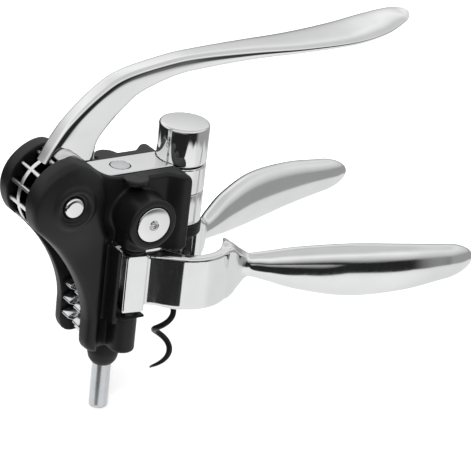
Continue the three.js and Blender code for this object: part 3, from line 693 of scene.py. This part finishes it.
rod_profile = [(0, ROD_BOTTOM), (ROD_R - 1, ROD_BOTTOM), (ROD_R, ROD_BOTTOM + 1), (ROD_R, 0), (0, 0)]
new_piece("turned_guide_rod", [turned(rod_profile, (0, 0, 0), radius=0.25)],
          "carriage", "bright_steel", ["guide_rod"])


def bridge_field(x, y, z):
    """A flat bar with the barrel's ring hanging from its front end, and a hole that leaves a gap round the
    rod's end."""
    bar = np.maximum(np.maximum(BRIDGE_BACK - x, x - BARREL_X + 8), np.abs(y) - BRIDGE_HALF)
    body = thicken(bar, z, BRIDGE_BOTTOM, 0, 0.45)
    from_barrel = np.hypot(x - BARREL_X, y)
    body = melt(body, thicken(from_barrel - BARREL_R, z, RING_BOTTOM, -2, 0.4), 0.3)
    body = carve(body, thicken(from_barrel - BARREL_R - 0.3, z, -2, 20, 0.1), 0.2)
    body = carve(body, from_barrel - 7, 0.4)
    return carve(body, np.hypot(x, y) - ROD_R - 0.35, 0.35)


bridge_low, bridge_high = (BRIDGE_BACK, -BARREL_R, RING_BOTTOM), (BARREL_X + BARREL_R, BARREL_R, 0)
bridge = cast(bridge_field, bridge_low, bridge_high, BRIDGE_CELL)
new_piece("bridge_bar", [bridge], "carriage", "polished_chrome", ["bridge"])
barrel_foot = (BARREL_X, 0, 0)
cap_profile = [
    (0, BARREL_TOP), (BARREL_R, BARREL_TOP), (BARREL_R, -1.6), (7, -1.6), (7, BARREL_TOP - 3.5), (0, BARREL_TOP - 3.5),
]
sleeve_profile = [
    (SLEEVE_BORE_R, SLEEVE_TOP), (BARREL_R, SLEEVE_TOP), (BARREL_R, SLEEVE_BOTTOM), (SLEEVE_BORE_R, SLEEVE_BOTTOM),
]
collar_profile = [(SLEEVE_BORE_R, -27.7), (11, -27.7), (11, -33), (5.7, -33), (5.7, -31.5), (SLEEVE_BORE_R, -31.5)]
foot_profile = [
    (ROD_BORE_R, -74.2), (5.2, -74.2), (5.2, -77.5), (6.8, -77.5),
    (6.8, -84.5), (6, -88), (4.6, -90), (ROD_BORE_R, -90),
]
new_piece("round_worm_cap", [turned(cap_profile, barrel_foot, radius=1.4)],
          "carriage", "polished_chrome", ["worm_cap"])
new_piece("sleeve_tube", [turned(sleeve_profile, barrel_foot, radius=0.45, closed=True)],
          "body", "polished_chrome", ["nut_sleeve"])
new_piece("collar_ring", [turned(collar_profile, barrel_foot, radius=0.8, closed=True)],
          "body", "black_nylon", ["nut_collar"])
new_piece("foot_collar", [turned(foot_profile, (0, 0, 0), radius=0.9, closed=True)],
          "body", "black_nylon", ["guide_collar"])


def worm_wire():
    """A round wire on a right-handed helix, drawn in to the axis at its shank and tapered at its tip."""
    z = np.linspace(WORM_TIP, WORM_TOP, 420)
    angle = WORM_TIP_ANGLE + 2 * math.pi * (z - WORM_TIP) / WORM_PITCH
    pull = np.clip((z + 14) / 12, 0, 1)
    r = WORM_R * (1 - pull * pull * (3 - 2 * pull))
    path = np.stack([BARREL_X + r * np.cos(angle), r * np.sin(angle), z], 1)
    ahead = np.gradient(path, axis=0)
    ahead /= np.linalg.norm(ahead, axis=1, keepdims=True)
    side = np.cross(np.stack([-np.sin(angle), np.cos(angle), 0 * z], 1), ahead)
    side /= np.linalg.norm(side, axis=1, keepdims=True)
    up = np.cross(ahead, side)
    taper = WIRE_R * np.minimum(1, 0.1 + 0.9 * ((z - WORM_TIP) / 10) ** 0.8)
    turn = np.linspace(0, 2 * math.pi, 20, endpoint=False)[None, :, None]
    ring = np.cos(turn) * side[:, None] + np.sin(turn) * up[:, None]
    return tube(path[:, None] + taper[:, None, None] * ring)


new_piece("coated_worm", [worm_wire()], "worm", "nonstick_worm", ["worm"])


# ---- jaws -----------------------------------------------------------------------------------
HANDLE = smooth_rows(HANDLE_STATIONS, 600)


def jaw_outlines():
    """Plan of a closed jaw as (x, out): the curved band with its nose, and the arm that carries it."""
    def ring(radius, start, end, steps):
        return arc((BARREL_X, 0), radius, math.radians(start), math.radians(end), steps)

    nose = [[45.6, 1.9], [48.5, 1.4], [53, 4], [53.6, 8.5], [48.6, 12.4]]
    band = np.vstack([nose, ring(JAW_OUTER, 45, 146, 30), ring(JAW_INNER, 146, 12, 40)])
    arm = np.array([[1, 12.4], [4.8, 16.5], [8, 13.9], [21.6, 19.08], [20.4, 14], [15.4, 9.2], [9, 9.4]], float)
    return band, arm


BAND, ARM = jaw_outlines()
JAW_MIDDLE = (JAW_TOP + JAW_BOTTOM) / 2


def handle_field(x, out, z):
    """Near-elliptic sections along x, sized and placed by the handle's stations; the last stretch closes as
    a quarter ellipse."""
    across, rise, tall, thick = (np.interp(x, HANDLE[:, 0], HANDLE[:, k]) for k in (1, 2, 3, 4))
    close = np.sqrt(np.clip(1 - np.clip((x - HANDLE_TIP) / TIP_LENGTH + 1, 0, 1) ** 2, 1e-4, 1))
    tall, thick = tall * close, thick * close
    high = np.abs(z - JAW_MIDDLE - rise) / tall
    wide = np.abs(out - across) / thick
    ellipse = ((high ** 2.15 + wide ** 2.15) ** (1 / 2.15) - 1) * thick
    return np.maximum(ellipse, 40 - x)


def jaw_field(x, out, z):
    shrink = np.clip((x - 44.5) / 9.5, 0, 1)
    taper = 5.5 * shrink * shrink * (3 - 2 * shrink)
    band = thicken(outline_distance(x, out, BAND), z, BAND_BOTTOM + taper, JAW_TOP - taper, 1.2)
    arm = thicken(outline_distance(x, out, ARM), z, JAW_BOTTOM, JAW_TOP, 0.7)
    beyond = [np.maximum(np.abs(offset) - POST_HALF + POST_ROUND, 0) for offset in (x, out - HINGE_OUT)]
    post = thicken(np.hypot(*beyond) - POST_ROUND, z, JAW_BOTTOM + 1.1, JAW_POST_TOP, 0.4)
    body = melt(melt(band, arm, 2.5), post, 0.6)
    body = melt(body, handle_field(x, out, z), 2.4)
    body = carve(body, np.hypot(x - BARREL_X, out) - JAW_INNER, 0.8)
    return carve(body, np.hypot(x, out - HINGE_OUT) - 3.8, 0.3)


jaw = cast(jaw_field, (-5, 0, BAND_BOTTOM), (HANDLE_TIP, 32, JAW_POST_TOP), JAW_CELL)
for word, side in SIDES.items():
    points, faces = jaw
    points = points - np.array([0, HINGE_OUT, 0])
    points, faces = on_side((points, faces), side)
    turn = side * OPEN_ANGLE[word]
    points = points @ np.array(Matrix.Rotation(turn, 3, "Z")).T + np.array([0, side * HINGE_OUT, 0])
    new_piece(f"{word}_jaw_casting", [(points, faces)], f"{word}_jaw", "polished_chrome", [f"{word}_jaw"],
              finish="linished_chrome")


# ---- finishes of the CAD nodes that stay ----------------------------------------------------
KEPT = {
    "bright_steel": ["lever_axle", "right_hinge_pin", "left_hinge_pin", "upper_rack_pin", "lower_rack_pin",
                     "retaining_ring"],
    "black_nylon": ["lever_bush", "right_hinge_washer", "left_hinge_washer", "right_jaw_bush", "left_jaw_bush",
                    "worm_hub", "guide_block", "worm_nut"],
    "bronze": ["thrust_washer"],
}
for slot_name, kept in KEPT.items():
    for node_name in kept:
        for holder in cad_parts[node_name].material_slots:
            holder.material = MATERIALS[slot_name]


# ---- floor, light and camera ----------------------------------------------------------------
def plain_floor():
    """A white matt sheet just under the rod's end, which mirror surfaces don't show."""
    height = cad_box[0].z - 0.0004
    size = 6.0
    corners = [(-size, -size, height), (size, -size, height), (size, size, height), (-size, size, height)]
    mesh = bpy.data.meshes.new("floor")
    mesh.from_pydata(corners, [], [(0, 1, 2, 3)])
    material = bpy.data.materials.new("pale_paper")
    material.use_nodes = True
    shader = material.node_tree.nodes["Principled BSDF"]
    shader.inputs["Base Color"].default_value = linear("fbfbfb")
    shader.inputs["Roughness"].default_value = 0.8
    mesh.materials.append(material)
    floor = bpy.data.objects.new("floor", mesh)
    bpy.context.collection.objects.link(floor)
    floor.visible_glossy = False


def studio():
    """A white room, seen only in mirror surfaces, with one uneven dark band round it at eye level: it draws the
    black lines and patches in the plating. The band dips towards DARK_SIDE and pales towards +X. What the
    camera sees past the part is plain white."""
    world = bpy.data.worlds.new("studio")
    world.use_nodes = True
    bpy.context.scene.world = world
    tree = world.node_tree
    background = tree.nodes["Background"]

    def add(kind, sockets, output=0, **settings):
        return put(tree, "ShaderNode" + kind, sockets, **settings).outputs[output]

    direction = add("TexCoord", None, "Generated")
    parts = put(tree, "ShaderNodeSeparateXYZ", {"Vector": direction}).outputs
    side = add("VectorMath", {0: direction, 1: DARK_SIDE}, "Value", operation="DOT_PRODUCT")
    dip_range = {"From Min": 0.66, "From Max": 0.84, "To Min": 0, "To Max": BAND_DIP}
    dip = add("MapRange", {"Value": side, **dip_range}, "Result", interpolation_type="SMOOTHSTEP")
    uneven = noise(tree, direction, 2.2, 1.0)
    sway = add("Math", {0: uneven, 1: BAND_SWAY, 2: parts["Z"]}, operation="MULTIPLY_ADD")
    sunk = add("Math", {0: sway, 1: dip}, operation="ADD")
    below = add("Math", {0: parts["Z"], 1: 0.0}, operation="LESS_THAN")
    level = add("Mix", {0: below, 2: sway, 3: sunk})
    fraction = add("MapRange", {"Value": level, "From Min": -1, "From Max": 1}, "Result")
    ramp = put(tree, "ShaderNodeValToRGB", {"Fac": fraction})
    while len(ramp.color_ramp.elements) < len(BAND_STOPS):
        ramp.color_ramp.elements.new(0.5)
    for element, (at, brightness) in zip(ramp.color_ramp.elements, BAND_STOPS):
        element.position = at
        element.color = grey(brightness)
    pale_range = {"From Min": 0.36, "From Max": 0.64, "To Min": 0, "To Max": 0.5}
    paling = add("MapRange", {"Value": parts["X"], **pale_range}, "Result", interpolation_type="SMOOTHSTEP")
    mirrored = add("Mix", {0: paling, 6: ramp.outputs["Color"], 7: grey(0.62)}, 2, data_type="RGBA")
    seen = add("LightPath", None, "Is Camera Ray")
    shown = add("Mix", {0: seen, 6: mirrored, 7: grey(0.95)}, 2, data_type="RGBA")
    tree.links.new(shown, background.inputs["Color"])
    background.inputs["Strength"].default_value = 1.12


def lamp(name, place, aim, size, power):
    """A soft rectangle that lights surfaces but is not mirrored in them. Lengths are metres, power is watts."""
    light = bpy.data.lights.new(name, "AREA")
    light.shape = "RECTANGLE"
    light.size, light.size_y = size
    light.energy = power
    holder = bpy.data.objects.new(name, light)
    holder.location = place
    holder.rotation_euler = (Vector(aim) - Vector(place)).to_track_quat("-Z", "Y").to_euler()
    holder.visible_glossy = False
    bpy.context.collection.objects.link(holder)


def camera():
    data = bpy.data.cameras.new("camera")
    data.sensor_fit = "HORIZONTAL"
    data.sensor_width = 36
    data.lens = CAMERA_LENS
    data.clip_start, data.clip_end = 0.05, 30
    holder = bpy.data.objects.new("camera", data)
    a, e = CAMERA_AZIMUTH, CAMERA_ELEVATION
    back = Vector((math.sin(a) * math.cos(e), -math.cos(a) * math.cos(e), math.sin(e)))
    holder.location = Vector(CAMERA_TARGET) + back * CAMERA_AWAY
    level = (-back).to_track_quat("-Z", "Y").to_matrix()
    holder.rotation_euler = (level @ Matrix.Rotation(CAMERA_ROLL, 3, "Z")).to_euler()
    bpy.context.collection.objects.link(holder)
    bpy.context.scene.camera = holder


plain_floor()
studio()
lamp("key", (-0.5, -0.7, 0.9), (0.02, 0, 0), (0.5, 0.5), 8)
lamp("ceiling", (0, 0, 1.6), (0, 0, 0), (2.4, 2.4), 30)
camera()
bpy.context.scene.view_settings.view_transform = "Standard"
